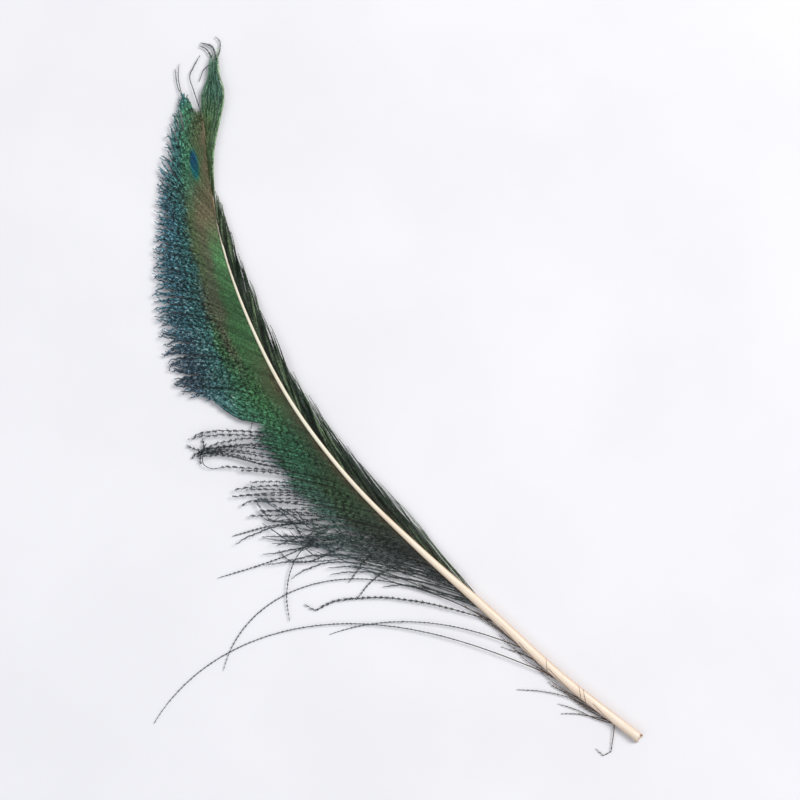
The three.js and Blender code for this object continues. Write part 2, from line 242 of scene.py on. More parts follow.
# A strand has a point every STEP, and the outer vane lies on the left of the shaft. A random
# phase lies between 0 and PHASES.
STEP = 0.2
OUTER_SIDE = 1
INNER_SIDE = -1
SHAFT_SAMPLES = 400
PHASES = 6.3

# A kink's place and length and the start of a curl, as shares of a barb.
KINK_PLACES = (0.35, 0.85)
KINK_LENGTH = 0.05
CURL_START = 0.86

# How high the vane swells between the shaft and its edge, and the lowest heights.
VANE_SWELL = 1.5
LOWEST_POINT = 0.03
LOWEST_BED = 0.05

# A barbule is a quad: half its length at its foot and its end, as shares of a step, how far
# it stands above the stem, and how far it droops and sweeps forward, as shares of its width.
BARBULE_FOOT = 0.58
BARBULE_END = 0.34
BARBULE_RISE = 0.04
DROOP = 0.18
SWEEP = 0.8

# The stem takes every fourth point, has a ridge and thins out. The dark bed lies below it: it stands for
# the dark lower barbules and is painted shade between the rows.
STEM_STRIDE = 4
STEM_RIDGE = 1.5
STEM_TAPER = 0.75
BED_DROP = 0.32
THINNEST_BED = 0.02

# Where the rows, the stem's two sides and the bed lie in a barb's lane of the map.
ROW_LANE = 0.62
STEM_LANES = ((0.66, 0.70), (0.72, 0.76))
BED_LANE = (0.80, 0.98)

# How knitted loose strands look, and the distance out that the material reads as 1.
LOOSE_KNIT = 0.3
OUT_SCALE = 40

# The small dark spot near the tip.
EYE_MIDDLE = np.array([-26.8, 241.6])
EYE_LONG_AXIS = np.array([4.0, 9.4])
EYE_HALF_LENGTH = 6.0
EYE_HALF_WIDTH = 1.6


# The feather's plan


def keyed(table, distance):
    """The values of a keyed table at a distance along the shaft, in straight lines."""
    rows = np.array(table, float)
    return [float(np.interp(distance, rows[:, 0], column)) for column in rows[:, 1:].T]


def rounded(points, per_span):
    """A smooth curve through points, as many points to a span as asked."""
    given = np.array(points, float)
    padded = np.vstack([2 * given[0] - given[1], given, 2 * given[-1] - given[-2]])
    share = np.linspace(0, 1, per_span, endpoint=False)[:, None]
    spans = []
    for before, start, end, after in zip(padded, padded[1:], padded[2:], padded[3:]):
        slope = (end - before) * share
        bend = (2 * before - 5 * start + 4 * end - after) * share**2
        ease = (3 * start - before - 3 * end + after) * share**3
        spans.append(0.5 * (2 * start + slope + bend + ease))
    return np.vstack([*spans, given[-1:]])


def lengths_along(points):
    """The distance from the first point to each point."""
    return np.r_[0, np.cumsum(norm(np.diff(points, axis=0), axis=1))]


def places_on(line, marks, wanted):
    """Where a line is at the wanted marks, given the marks of its points."""
    return np.stack([np.interp(wanted, marks, axis) for axis in line.T], -1)


SHAFT_LINE = rounded(SHAFT_ROUTE, 60)
SHAFT_MARKS = lengths_along(SHAFT_LINE)
SHAFT_LENGTH = SHAFT_MARKS[-1]


def shaft_at(distance, reach=0.5):
    """Places on the shaft's centre line, and its heading; past the tip it goes straight on."""
    distance = np.asarray(distance, float)
    held = np.clip(distance, reach, SHAFT_LENGTH - reach)
    shifts = (-reach, 0, reach)
    behind, middle, beyond = (places_on(SHAFT_LINE, SHAFT_MARKS, held + shift) for shift in shifts)
    ahead = beyond - behind
    ahead /= norm(ahead, axis=-1, keepdims=True)
    point = middle + ahead * (distance - held)[..., None]
    return point, np.arctan2(ahead[..., 1], ahead[..., 0])


def leftward(heading):
    """The direction to the left of a heading."""
    return np.stack([-np.sin(heading), np.cos(heading)], -1)


def shaft_half_width(distance):
    return np.interp(distance, *np.array(SHAFT_WIDTH, float).T)


def shaft_middle_height(distance):
    share = np.clip((distance - QUILL_LENGTH) / (SHAFT_LENGTH - QUILL_LENGTH), 0, 1)
    arch = ARCH_HEIGHT * np.sin(math.pi * share) ** 2
    return arch + shaft_half_width(distance) * SHAFT_HEIGHT_RATIO


def smooth(low, high, value):
    """0 below low, 1 above high, and a soft step between."""
    share = np.clip((value - low) / (high - low), 0, 1)
    return share * share * (3 - 2 * share)


def sway(share, slowest, fastest):
    """A wave along a strand, at a random pace and from a random phase."""
    return np.sin(share * uniform(slowest, fastest) + uniform(0, PHASES))


def barb_plan(side, distance, length, root_angle, tip_angle, bend, wander=0.0, kink=0.0, curl=0.0):
    """A barb's line in plan at equal steps, turning from its root angle to its tip angle.

    wander is how many degrees it sways on the way, kink how sharply it bends at one place, and
    curl how far its end turns.
    """
    steps = max(8, int(length / STEP))
    share = (np.arange(steps) + 0.5) / steps
    turn = root_angle + (tip_angle - root_angle) * share**bend
    turn = turn + wander * sway(share, 5, 12) * share
    bent_at = uniform(*KINK_PLACES)
    turn = turn + kink * smooth(bent_at, bent_at + KINK_LENGTH, share)
    turn = turn + curl * smooth(CURL_START, 1, share)
    point, heading = shaft_at(distance)
    angle = heading + side * np.radians(turn)
    moves = np.stack([np.cos(angle), np.sin(angle)], 1) * length / steps
    return np.vstack([point, point + np.cumsum(moves, 0)])


def strand_plan(side, distance, length, start, reach, wander):
    """A strand's line in plan that leaves the shaft slowly, then runs along it."""
    steps = max(8, int(length / STEP))
    share = np.linspace(0, 1, steps + 1)
    point, heading = shaft_at(distance + length * share)
    waves = wander * share * sway(share, 4, 9)
    away = side * (start + (reach - start) * (1 - (1 - share) ** 1.6) + waves)
    return point + leftward(heading) * away[:, None]


def free_plan(points):
    """A strand through given points, at equal steps."""
    line = rounded(points, 30)
    marks = lengths_along(line)
    steps = max(6, int(marks[-1] / STEP))
    return places_on(line, marks, np.linspace(0, marks[-1], steps + 1))


def from_shaft(plan):
    """Each plan point's nearest distance along the shaft, and how far it lies from it."""
    marks = np.linspace(0, SHAFT_LENGTH, SHAFT_SAMPLES)
    gaps = norm(plan[:, None, :] - shaft_at(marks)[0][None], axis=2)
    nearest = gaps.argmin(1)
    return marks[nearest], gaps[np.arange(len(plan)), nearest]


def vane_heights(distance, share, rest):
    """The height of a barb along its length: down from the shaft, with a little swell."""
    root = max(rest, float(shaft_middle_height(distance)))
    fall = (1 - share) ** 1.4
    body = VANE_SWELL * min(1, max(0, (distance - 40) / 60)) * share * (1 - share) * 2
    return rest + (root - rest) * fall + body


# Strands as meshes


def add_object(name, data):
    """A new object in the scene."""
    thing = bpy.data.objects.new(name, data)
    bpy.context.scene.collection.objects.link(thing)
    return thing


def set_field(mesh, name, values):
    """A number for each vertex, which the material reads by its name."""
    layer = mesh.attributes.new(name, "FLOAT", "POINT")
    layer.data.foreach_set("value", np.concatenate(values).astype(np.float32))


class Sheaf:
    """Collects the quads of many strands, with what the material reads, for one mesh.

    Each strand has a row of its own on the map.
    """

    FIELDS = ("along", "out", "bead", "pick", "edge", "eye", "run", "knit", "bare")

    def __init__(self):
        self.rows = 0
        self.corners = []
        self.maps = []
        self.fields = {name: [] for name in self.FIELDS}

    def add(self, corners, run, low, high, **fields):
        """Quads as (n, 4, 3) corners; run, low and high place each in the strand's row."""
        cell = 0.9 * (run[1] - run[0])
        up = self.rows - 0.5 + 0.46 * np.stack([low, low, high, high], -1)
        right = 0.002 + 0.996 * np.minimum(run[:, None] + np.array([[0, cell, cell, 0]]), 1)
        self.corners.append(corners.reshape(-1, 3))
        self.maps.append(np.stack([right, np.broadcast_to(up, right.shape)], -1).reshape(-1, 2))
        fields["run"] = right
        fields["eye"] = eye_mask(corners)
        for name in self.FIELDS:
            self.fields[name].append(np.broadcast_to(fields[name], right.shape).reshape(-1))

    def piece(self, name, material):
        """The finished mesh object, in its place."""
        points = np.vstack(self.corners)
        points[:, :2] += CUT_END
        points[:, 2] = np.maximum(points[:, 2], LOWEST_POINT)
        quads = np.arange(len(points)).reshape(-1, 4)
        mesh = bpy.data.meshes.new(name)
        mesh.from_pydata((points * MM).tolist(), [], quads.tolist(), shade_flat=False)
        for field, values in self.fields.items():
            set_field(mesh, field, values)
        layer = mesh.uv_layers.new(name="OFBake")
        places = np.vstack(self.maps) / (1, self.rows)
        layer.data.foreach_set("uv", places.astype(np.float32).ravel())
        mesh.validate()
        mesh.materials.append(material)
        return add_object(name, mesh)


def eye_mask(places):
    """1 on the small dark spot near the tip, falling to 0 round it."""
    long_axis = EYE_LONG_AXIS / norm(EYE_LONG_AXIS)
    offset = places[..., :2] - EYE_MIDDLE
    down = offset @ long_axis
    aside = offset @ np.array([-long_axis[1], long_axis[0]])
    reach = np.hypot(down / EYE_HALF_LENGTH, aside / EYE_HALF_WIDTH)
    return 1 - smooth(0.35, 1.3, reach)


def strip(right, left):
    """Quads between two rails, which face up when the second rail is on the left."""
    return np.stack([right[:-1], right[1:], left[1:], left[:-1]], 1)


def directions(points):
    """The way ahead, the level way to the left and the way up at each point, and its step."""
    ahead = np.gradient(points, axis=0)
    step = norm(ahead, axis=1, keepdims=True)
    ahead /= step
    level = np.cross((0, 0, 1), ahead)
    level /= norm(level, axis=1, keepdims=True)
    return ahead, level, np.cross(ahead, level), step


def barbules(points, ahead, step, turned, side, half_width, rough):
    """The quads of one row of barbules, which stand out along the turned way."""
    one_each = (len(points), 1)
    raised = np.cross(ahead, turned)
    width = half_width[:, None] * (1 + normal(0, rough * 1.2, one_each))
    droop = DROOP + normal(0, rough, one_each)
    reach = side * turned * width - raised * width * droop
    reach = reach + ahead * width * (SWEEP + normal(0, rough, one_each))
    base = points + raised * BARBULE_RISE
    foot = ahead * step * BARBULE_FOOT
    end = ahead * step * BARBULE_END
    return np.stack([base - foot, base + foot, base + reach + end, base + reach - end], 1)


def grow(
    sheaf, plan, heights, half_width, roll, stem,
    rough=0.12, bed=None, knit=None, bare=None, stem_light=0.5,
):
    """One barb: a stem with a row of barbules on each side, and a dark bed under it, which stands for the
    dark lower barbules and paints the shade between the rows.

    half_width, roll, bed, knit and bare hold a value for each point: the rows' half width and
    roll, the bed's half width, and how knitted and how dark and worn the barb looks, from 0
    to 1. stem is the stem's half width, and rough is how unevenly the barbules stand.
    """
    sheaf.rows += 1
    points = np.column_stack([plan, heights])
    ahead, level, upright, step = directions(points)
    along, out = from_shaft(plan)
    each = np.ones(len(points))
    facts = {
        "along": along / SHAFT_LENGTH,
        "out": out / OUT_SCALE,
        "knit": LOOSE_KNIT * each if knit is None else knit,
        "bare": 0 * each if bare is None else bare,
        "pick": random.random() * each,
    }
    facts = {name: values[:, None] for name, values in facts.items()}
    run = np.arange(len(points)) / len(points)
    turned = level * np.cos(roll)[:, None] + upright * np.sin(roll)[:, None]
    # The rows are painted light where they face up and dark where they stand on edge: painted light and
    # shade, kept as bead.
    facing = np.abs(np.cos(roll))[:, None]
    for side in (1, -1):
        corners = barbules(points, ahead, step, turned, side, half_width, rough)
        bead = np.clip(facing + normal(0, rough, facing.shape), 0, 1)
        edge = np.array([[0.0, 0.0, 1.0, 1.0]])
        sheaf.add(corners, run, 0, ROW_LANE * side, bead=bead, edge=edge, **facts)

    thin = slice(None, None, STEM_STRIDE)
    spine, level, upright = points[thin], level[thin], upright[thin]
    taper = stem * (1 - STEM_TAPER * run[thin])[:, None]
    run = run[thin][:-1]
    facts = {name: values[thin][:-1] for name, values in facts.items()}
    rails = [spine - level * taper, spine + upright * taper * STEM_RIDGE, spine + level * taper]
    for lane, right, left in zip(STEM_LANES, rails, rails[1:]):
        # The stems take the fixed level stem_light of painted facing light, a painted highlight along
        # them.
        sheaf.add(strip(right, left), run, *lane, bead=stem_light, edge=0.3, **facts)
    if bed is None:
        return
    bed = bed[thin]
    kept = np.minimum(bed[:-1], bed[1:]) > THINNEST_BED
    if kept.any():
        below = spine - np.array([0, 0, BED_DROP])
        below[:, 2] = np.maximum(below[:, 2], LOWEST_BED)
        corners = strip(below - level * bed[:, None], below + level * bed[:, None])[kept]
        facts = {name: values[kept] for name, values in facts.items()}
        # The bed is painted almost at the darkest level: painted shade between the rows.
        sheaf.add(corners, run[kept], *BED_LANE, bead=0.1, edge=0.8, **facts)


def turning(length, share, start, full, half_turn, phase):
    """The roll along a barb: level at first, and by the full share turning like a screw."""
    screw = share * length / half_turn * math.pi + phase
    tilt = np.mod(screw + math.pi / 2, math.pi) - math.pi / 2
    return smooth(start, full, share) * tilt


# The outer vane


def kept_share(distance, row):
    """How much of a barb is left, from 0 to 1."""
    if NOTCH_START < distance < NOTCH_END:
        return uniform(*NOTCH_KEPT)
    if WORN_START < distance <= NOTCH_START:
        if row % 2:
            return uniform(*BROKEN_KEPT) + 0.05 * smooth(118, 134, distance)
        return 1.0 if distance > CLUMP_START else uniform(*BRISTLE_KEPT)
    if distance <= WORN_START and random.random() < BASE_BROKEN:
        return uniform(*BASE_KEPT)
    return 1.0


def gathered(plan, share, distance, look):
    """Draws the outer ends of neighbouring barbs together, and crinkles them."""
    lock = round(distance / LOCK_PITCH)
    heading = float(shaft_at(distance)[1])
    ahead = np.array([math.cos(heading), math.sin(heading)])
    outer_part = smooth(0.6, 1, share)
    pull = (lock * LOCK_PITCH - distance) * look["clumping"] * outer_part
    reach = norm(plan - plan[0], axis=1)
    turn = 2 * math.pi / (CRINKLE_LENGTH * uniform(0.85, 1.2))
    waves = np.sin(reach * turn + uniform(0, PHASES))
    swell = np.sin(reach * 0.9 + lock * 2.4 + normal(0, 0.5))
    waves = look["crinkle"] * smooth(0.3, 0.6, share) * (waves + 1.3 * swell * outer_part)
    return plan + ahead * (pull + waves)[:, None]


def outer_plan(distance, look):
    """An outer barb's line in plan and its length, before any place draws its end."""
    length, root_angle, tip_angle = keyed(OUTER_BARBS, distance)
    length *= uniform(0.95, 1.015)
    tip_angle += normal(0, look["stray"])
    root_angle += normal(0, 0.5 + 3 * smooth(114, 92, distance))
    kink = 0.0
    if distance < TANGLE_END and random.random() < KINKED:
        kink = uniform(*KINK_ANGLES)
    curl = normal(0, CURL_SPREAD) * smooth(112, 150, distance)
    bends = (root_angle, tip_angle, BEND, look["stray"], kink, curl)
    plan = barb_plan(OUTER_SIDE, distance, length, *bends)
    return gathered(plan, np.linspace(0, 1, len(plan)), distance, look), length


def drawn_end(plan, share, distance):
    """Bends a barb's end towards the place that draws it, if it ends near it."""
    for place, nearness, first, last, pull, growth, full, begin in DRAWING_PLACES:
        toward = place - plan[-1]
        if first < distance < last and norm(toward) <= nearness:
            pull += growth * smooth(first, full, distance)
            plan = plan + toward * pull * smooth(begin, 1, share)[:, None]
    return plan


def outer_widths(share, distance, start, look):
    """The half widths of an outer barb's rows and of its bed, and how worn each point is."""
    near, far, bed_end = look["near_width"], look["far_width"], look["bed_end"]
    width = near + (far - near) * smooth(start, start + 0.3, share)
    width = width * (1 - 0.6 * smooth(0.9, 1, share)) * smooth(-0.02, 0.04, share)
    bed = np.interp(share, (0, 0.05, 0.85 * bed_end, bed_end), (0.2, BED_WIDTH, BED_WIDTH, 0))
    bare = np.full(len(share), 0.6 * (1 - smooth(84, 116, distance)))
    return width, bed, bare


def outer_barb(sheaf, row, distance, phase):
    """One barb of the outer vane: whole, broken off, or bare like a bristle."""
    look = dict(zip(LOOK_COLUMNS, keyed(OUTER_LOOK, distance)))
    plan, length = outer_plan(distance, look)
    share = np.linspace(0, 1, len(plan))
    kept = kept_share(distance, row)
    is_bristle = kept > SHORTEST_BRISTLE and WORN_START < distance <= NOTCH_START
    if kept > SHORTEST_BRISTLE:
        plan = drawn_end(plan, share, distance)

    rest = 0.75 + 0.35 * random.random()
    heights = vane_heights(distance, share, rest) + uniform(-0.12, 0.12)
    heights = heights + uniform(0.1, 1.3) * smooth(0.7, 1, share)
    start = look["start"] + uniform(-0.04, 0.04)
    full = start + TURN_IN / length
    turned = smooth(start, full, share)
    knit = turned * (0.7 + 0.3 * smooth(130, 165, distance))
    half_turn = look["half_turn"] * (1 + normal(0, 0.05))
    worn = smooth(BRISTLE_START, BRISTLE_FULL, share) * is_bristle
    twist = VANE_TWIST + (1 - VANE_TWIST) * worn
    screw = turning(length, share, start, full, half_turn, phase)
    roll = FLAT_ROLL * (1 - turned) + twist * screw
    width, bed, bare = outer_widths(share, distance, start, look)
    if is_bristle:
        bare = np.maximum(bare, smooth(BRISTLE_START - 0.02, BRISTLE_FULL, share))
        width = width * (1 + (BRISTLE_SWELL - 1) * worn)
        bed = bed * (1 - worn)
    elif kept < 1:
        torn = smooth(kept - 0.1, kept, share)
        width = width * (1 - 0.5 * torn)
        bed = bed * (1 - torn)
    aside = leftward(float(shaft_at(distance)[1]))
    plan = plan + aside * shaft_half_width(distance) * ROOT_SHIFT
    rough = 0.12 + 0.1 * smooth(start, start + 0.3, kept)
    values = (plan, heights, width, roll, bed, knit, bare)
    plan, heights, width, roll, bed, knit, bare = (value[share <= kept] for value in values)
    grow(sheaf, plan, heights, width, roll, 0.09, rough, bed, knit, bare)


def outer_vane(name, start, end, pitch, material):
    distances = np.arange(start, end, pitch)
    phases = np.cumsum(normal(0, 0.9, len(distances)))
    sheaf = Sheaf()
    for row, (distance, phase) in enumerate(zip(distances, phases)):
        shift = uniform(-0.12, 0.12) * (1 + 4 * smooth(110, 85, distance))
        outer_barb(sheaf, row, distance + shift, phase)
    return sheaf.piece(name, material)


# The inner vane, the stray barbs and the wisps


def inner_vane(material):
    """Long narrow barbs that lie close to the shaft, dark, with stems painted paler as a highlight."""
    sheaf = Sheaf()
    for distance in np.arange(INNER_STRANDS[0][0], INNER_STRANDS[-1][0], INNER_PITCH):
        length, reach = keyed(INNER_STRANDS, distance)
        length *= uniform(0.75, 1.1)
        reach *= uniform(0.55, 1.08)
        plan = strand_plan(INNER_SIDE, distance, length, 0.3, reach, 0.5)
        share = np.linspace(0, 1, len(plan))
        heights = vane_heights(distance, share, uniform(0.5, 1.1))
        roll = 0.5 * sway(share, 6, 14) - 0.2
        fullness = smooth(60, 125, distance)
        width = (0.16 + 0.22 * fullness) * (1 - 0.75 * smooth(0.5, 1, share))
        bed = np.interp(share, (0, 0.1, 0.5, 0.75), (0.3, 0.6, 0.45, 0.0)) * fullness
        grow(sheaf, plan, heights, width, roll, 0.07, rough=0.16, bed=bed, stem_light=0.8)
    return sheaf.piece("inner_vane", material)


def loose(sheaf, plan, root_height, half_width, rest, stem, half_turn=1.45, twist=1.0):
    """A loose strand: bare at first, then with short turning barbules to its end."""
    share = np.linspace(0, 1, len(plan))
    length = lengths_along(plan)[-1]
    heights = rest + (root_height - rest) * (1 - share) ** 2.2
    heights = heights + 0.5 * np.sin(share * math.pi) * min(1, length / 60)
    width = half_width * smooth(0, 0.35, share) * (1 - 0.6 * smooth(0.85, 1, share)) + 0.05
    roll = twist * turning(length, share, 0.0, 0.1, half_turn, uniform(0, math.pi))
    grow(sheaf, plan, heights, width, roll, stem, rough=0.2)


def tangle_plan():
    """A curved strand between two places in the tangle."""
    edges = rounded(TANGLE_LOW, 10), rounded(TANGLE_HIGH, 10)

    def place(out, up):
        marks = range(len(edges[0]))
        low, high = (places_on(edge, marks, min(out, 1) * marks[-1]) for edge in edges)
        return low * (1 - up) + high * up

    out = uniform(0, 0.7)
    first = place(out, uniform(0.05, 0.75))
    last = place(out + uniform(0.2, 0.5), uniform(0.02, 0.75))
    across = last - first
    aside = np.array([-across[1], across[0]])
    swell, waver = normal(0, 0.1, 2)
    second = first + across * 0.35 + aside * swell
    return free_plan([first, second, first + across * 0.7 + aside * waver, last])


def stray_barbs(material):
    """The long stray barbs, the hooked one, and the strands of the tangle and the clump."""
    sheaf = Sheaf()
    for distance, *shape, width in STRAY_BARBS:
        plan = barb_plan(OUTER_SIDE, distance, *shape)
        loose(sheaf, plan, float(shaft_middle_height(distance)), width, 0.5, 0.2)
    loose(sheaf, free_plan(HOOKED_BARB), 1.4, 0.44, 0.6, 0.18, half_turn=2.0)
    for half_width, points in CROSSING_STRANDS:
        loose(sheaf, free_plan(points), 2.2, half_width, 0.7, 0.16)
    for _ in range(TANGLE_STRANDS):
        plan = tangle_plan()
        root_height = uniform(1, 2.6)
        loose(sheaf, plan, root_height, uniform(0.1, 0.28), 0.7, 0.13, half_turn=2.6)
    return sheaf.piece("stray_barbs", material)


def clinging_strand(sheaf, distance, length, start, end):
    """A thin strand that lies over the quill, from one side of it to the other."""
    steps = int(length / STEP)
    share = np.linspace(0, 1, steps + 1)
    marks = distance + length * share
    point, heading = shaft_at(marks)
    away = start + (end - start) * share
    plan = point + leftward(heading) * away[:, None]
    half = shaft_half_width(marks)
    over = np.sqrt(np.clip(1 - (away / half) ** 2, 0, 1)) * half * SHAFT_HEIGHT_RATIO
    heights = shaft_middle_height(marks) + over + 0.05
    grow(sheaf, plan, heights, np.full(steps + 1, 0.06), np.zeros(steps + 1), 0.07)


def quill_wisps(material):
    """The thin wisps beside the bare quill, and the down that clings to it."""
    sheaf = Sheaf()
    for points in QUILL_WISPS:
        loose(sheaf, free_plan(points), 1.2, 0.14, 0.35, 0.2)
    for distance in np.linspace(5, 56, 12):
        length = uniform(12, 26)
        reach = uniform(1.5, 4.2)
        plan = strand_plan(OUTER_SIDE, distance, length, 1.3, reach, 0.5)
        loose(sheaf, plan, uniform(0.6, 1.6), 0.1, 0.5, 0.13)
    for strand in CLINGING_STRANDS:
        clinging_strand(sheaf, *strand)
    return sheaf.piece("quill_wisps", material)


def tip_wisps(material):
    """The hairs at the tip, which hardly turn, so that none stands on edge."""
    sheaf = Sheaf()
    for half_width, points in TIP_WISPS:
        plan = free_plan(points)
        loose(sheaf, plan, 1.2, half_width, 0.8, 0.13, half_turn=90, twist=0.4)
    return sheaf.piece("tip_wisps", material)


def plume_plan(place, axis, aside):
    """A plume strand's line; place runs from -1 to 1 across the plume."""
    first, last = PLUME_FEET
    share = np.clip(0.5 + 0.4 * place + normal(0, 0.12), 0, 1)
    foot = shaft_at(first + (last - first) * share)[0] + aside * place * 0.3
    middle = PLUME_MIDDLE + aside * place * PLUME_SPREAD + axis * normal(0, 1)
    top = PLUME_TOP + aside * (place * PLUME_TOP_SPREAD + normal(0, 0.4))
    top = top + axis * normal(0, 1)
    lower = foot + (middle - foot) * 0.5 + aside * (0.7 - 1.4 * place)
    upper = (middle + top) / 2 - aside * (place * 0.7 + normal(0, 0.25))
    plan = free_plan([foot, lower, middle, upper, top])
    return plan[: int(len(plan) * uniform(0.8, 1))]


def plume(material):
    """The green strands that leave the shaft's thin end, bow apart and meet again at the top."""
    sheaf = Sheaf()
    axis = (PLUME_TOP - PLUME_MIDDLE) / norm(PLUME_TOP - PLUME_MIDDLE)
    aside = np.array([-axis[1], axis[0]])
    for place in np.linspace(-1, 1, PLUME_STRANDS):
        plan = plume_plan(np.clip(place + normal(0, 0.2), -1, 1), axis, aside)
        half_width = uniform(0.14, 0.27)
        rest = uniform(0.7, 2.0)
        loose(sheaf, plan, 0.9, half_width, rest, 0.11, uniform(4, 9), twist=0.5)
    return sheaf.piece("plume", material)


# The shaft

SHAFT_SIDES = 28
SHAFT_STEP = 1.2
RIDGES = 9
RIDGE_HEIGHT = 0.012
UNDERSIDE = -0.72
CUT_SLANT = 0.55
WALL = 0.34
HOLLOW_DEPTH = 9.0


def shaft_ring(distance, shrink):
    """One section of the shaft: round on top, flatter below, with fine lengthwise ridges."""
    angle = np.linspace(0, 2 * math.pi, SHAFT_SIDES, endpoint=False)
    half = float(shaft_half_width(distance)) - shrink
    ridges = 1 + RIDGE_HEIGHT * np.sin(angle * RIDGES + distance * 0.05) if shrink == 0 else 1
    up = np.sin(angle)
    flat_below = np.where(up < UNDERSIDE, UNDERSIDE - (up - UNDERSIDE) * 0.1, up)
    rise = flat_below * half * SHAFT_HEIGHT_RATIO * ridges
    return angle, np.cos(angle) * half * ridges, np.where(up < 0, rise * 1.25, rise)


def ring_faces(count):
    """The faces between count rings of SHAFT_SIDES points each, and one at both ends."""
    faces = []
    for here in range(0, (count - 1) * SHAFT_SIDES, SHAFT_SIDES):
        there = here + SHAFT_SIDES
        for side in range(SHAFT_SIDES):
            following = (side + 1) % SHAFT_SIDES
            faces.append((here + side, there + side, there + following, here + following))
    faces.append(tuple(range(SHAFT_SIDES)))
    faces.append(tuple(reversed(range((count - 1) * SHAFT_SIDES, count * SHAFT_SIDES))))
    return faces


def shaft(material):
    """The shaft, with its slanted, slightly ragged cut end and the hollow of the quill."""
    rings = [(distance, 0.0) for distance in np.arange(0, SHAFT_LENGTH, SHAFT_STEP)[::-1]]
    rings += [(0.0, WALL * 0.5), (0.15, WALL)]
    rings += [(depth, WALL) for depth in np.linspace(1, HOLLOW_DEPTH, 6)]
    rings += [(HOLLOW_DEPTH + 0.8, 1.0), (HOLLOW_DEPTH + 1.0, 1.5)]
    ragged = normal(0, 0.16, SHAFT_SIDES)
    points, around, along = [], [], []
    for distance, shrink in rings:
        angle, across, rise = shaft_ring(distance, shrink)
        near_end = 1 - smooth(0, 2.5, distance)
        slant = near_end * (CUT_SLANT * (np.sin(angle) + 1) + ragged + 0.25 * np.sin(3 * angle))
        place, heading = shaft_at(distance + slant)
        plan = place + leftward(heading) * across[:, None] + CUT_END
        height = float(shaft_middle_height(distance)) + rise
        points.append(np.column_stack([plan, np.maximum(height, 0.0)]))
        # The walls of the quill's hollow count as underside and take the painted shade of the sides.
        around.append(np.sin(angle) if shrink == 0 else np.full(SHAFT_SIDES, -1.0))
        along.append(np.full(SHAFT_SIDES, distance / SHAFT_LENGTH))
    mesh = bpy.data.meshes.new("shaft")
    mesh.from_pydata((np.vstack(points) * MM).tolist(), [], ring_faces(len(rings)))
    set_field(mesh, "around", around)
    set_field(mesh, "along", along)
    mesh.validate()
    mesh.polygons.foreach_set("use_smooth", np.ones(len(mesh.polygons), bool))
    mesh.update()
    mesh.materials.append(material)
    return add_object("shaft", mesh)


# Materials


def linear(red, green, blue):
    """A colour given as it looks on a screen, from 0 to 255, as Blender's nodes take it."""
    shares = np.array([red, green, blue]) / 255
    light = np.where(shares <= 0.04, shares / 12.92, ((shares + 0.055) / 1.055) ** 2.4)
    return (*light.tolist(), 1.0)


class Nodes:
    """Short calls for the nodes of one material."""

    def __init__(self, name):
        self.material = bpy.data.materials.new(name)
        self.material.use_nodes = True
        self.tree = self.material.node_tree
        self.shader = self.tree.nodes["Principled BSDF"]

    def put(self, socket, value):
        if isinstance(value, bpy.types.NodeSocket):
            self.tree.links.new(value, socket)
        else:
            socket.default_value = value

    def new(self, kind, values):
        """A new node with its first inputs filled in."""
        node = self.tree.nodes.new("ShaderNode" + kind)
        for socket, value in zip(node.inputs, values):
            self.put(socket, value)
        return node

    def surface(self, part, value):
        """Sets one of the shader's own inputs."""
        self.put(self.shader.inputs[part], value)

    def field(self, name):
        node = self.new("Attribute", ())
        node.attribute_name = name
        return node.outputs["Fac"]

    def math(self, operation, *values):
        node = self.new("Math", values)
        node.operation = operation
        return node.outputs[0]

    def times(self, first, second):
        return self.math("MULTIPLY", first, second)

    def line(self, value, slope, start):
        """The value times a slope, plus a start."""
        return self.math("MULTIPLY_ADD", value, slope, start)

    def step(self, value, low, high, start=0.0, end=1.0):
        node = self.new("MapRange", (value, low, high, start, end))
        node.interpolation_type = "SMOOTHSTEP"
        return node.outputs[0]

    def mix(self, share, first, second, way="MIX"):
        node = self.new("Mix", ())
        node.data_type = "RGBA"
        node.blend_type = way
        self.put(node.inputs["Factor"], share)
        self.put(node.inputs[6], first)
        self.put(node.inputs[7], second)
        return node.outputs[2]

    def ramp(self, value, stops):
        node = self.new("ValToRGB", (value,))
        node.color_ramp.interpolation = "EASE"
        elements = node.color_ramp.elements
        while len(elements) < len(stops):
            elements.new(0.5)
        for element, (place, colour) in zip(elements, stops):
            element.position = place
            element.color = linear(*colour)
        return node.outputs["Color"]

    def pattern(self, kind, place, scale, **inputs):
        """The pattern of a texture node at a place."""
        node = self.new(kind, (place,))
        node.inputs["Scale"].default_value = scale
        for name, value in inputs.items():
            node.inputs[name].default_value = value
        return node.outputs["Fac"]

    def noise(self, detail, *place):
        place = self.new("CombineXYZ", place).outputs[0]
        return self.pattern("TexNoise", place, 1.0, Detail=detail)

    def noise_in_space(self, scale, detail):
        """Noise in the object's own space; the scale is for each metre."""
        place = self.new("TexCoord", ()).outputs["Object"]
        return self.pattern("TexNoise", place, scale, Detail=detail)

    def hollows(self, scale, low, high, depth, amount):
        """Painted shade: a factor below 1 in small irregular hollows; the scale is for each metre."""
        dark = self.step(self.noise_in_space(scale, 2), low, high, depth, 0.0)
        return self.line(self.times(dark, amount), -1.0, 1.0)

    def bump(self, height, strength, distance):
        node = self.new("Bump", (strength, distance))
        self.put(node.inputs["Height"], height)
        self.surface("Normal", node.outputs["Normal"])


UMBER = (94, 84, 62)
DUSK = (74, 80, 70)
FERN = (66, 92, 66)
BRONZE = (120, 114, 86)
TAUPE = (96, 104, 80)
OLIVE = (92, 112, 76)
LEAF = (72, 120, 74)
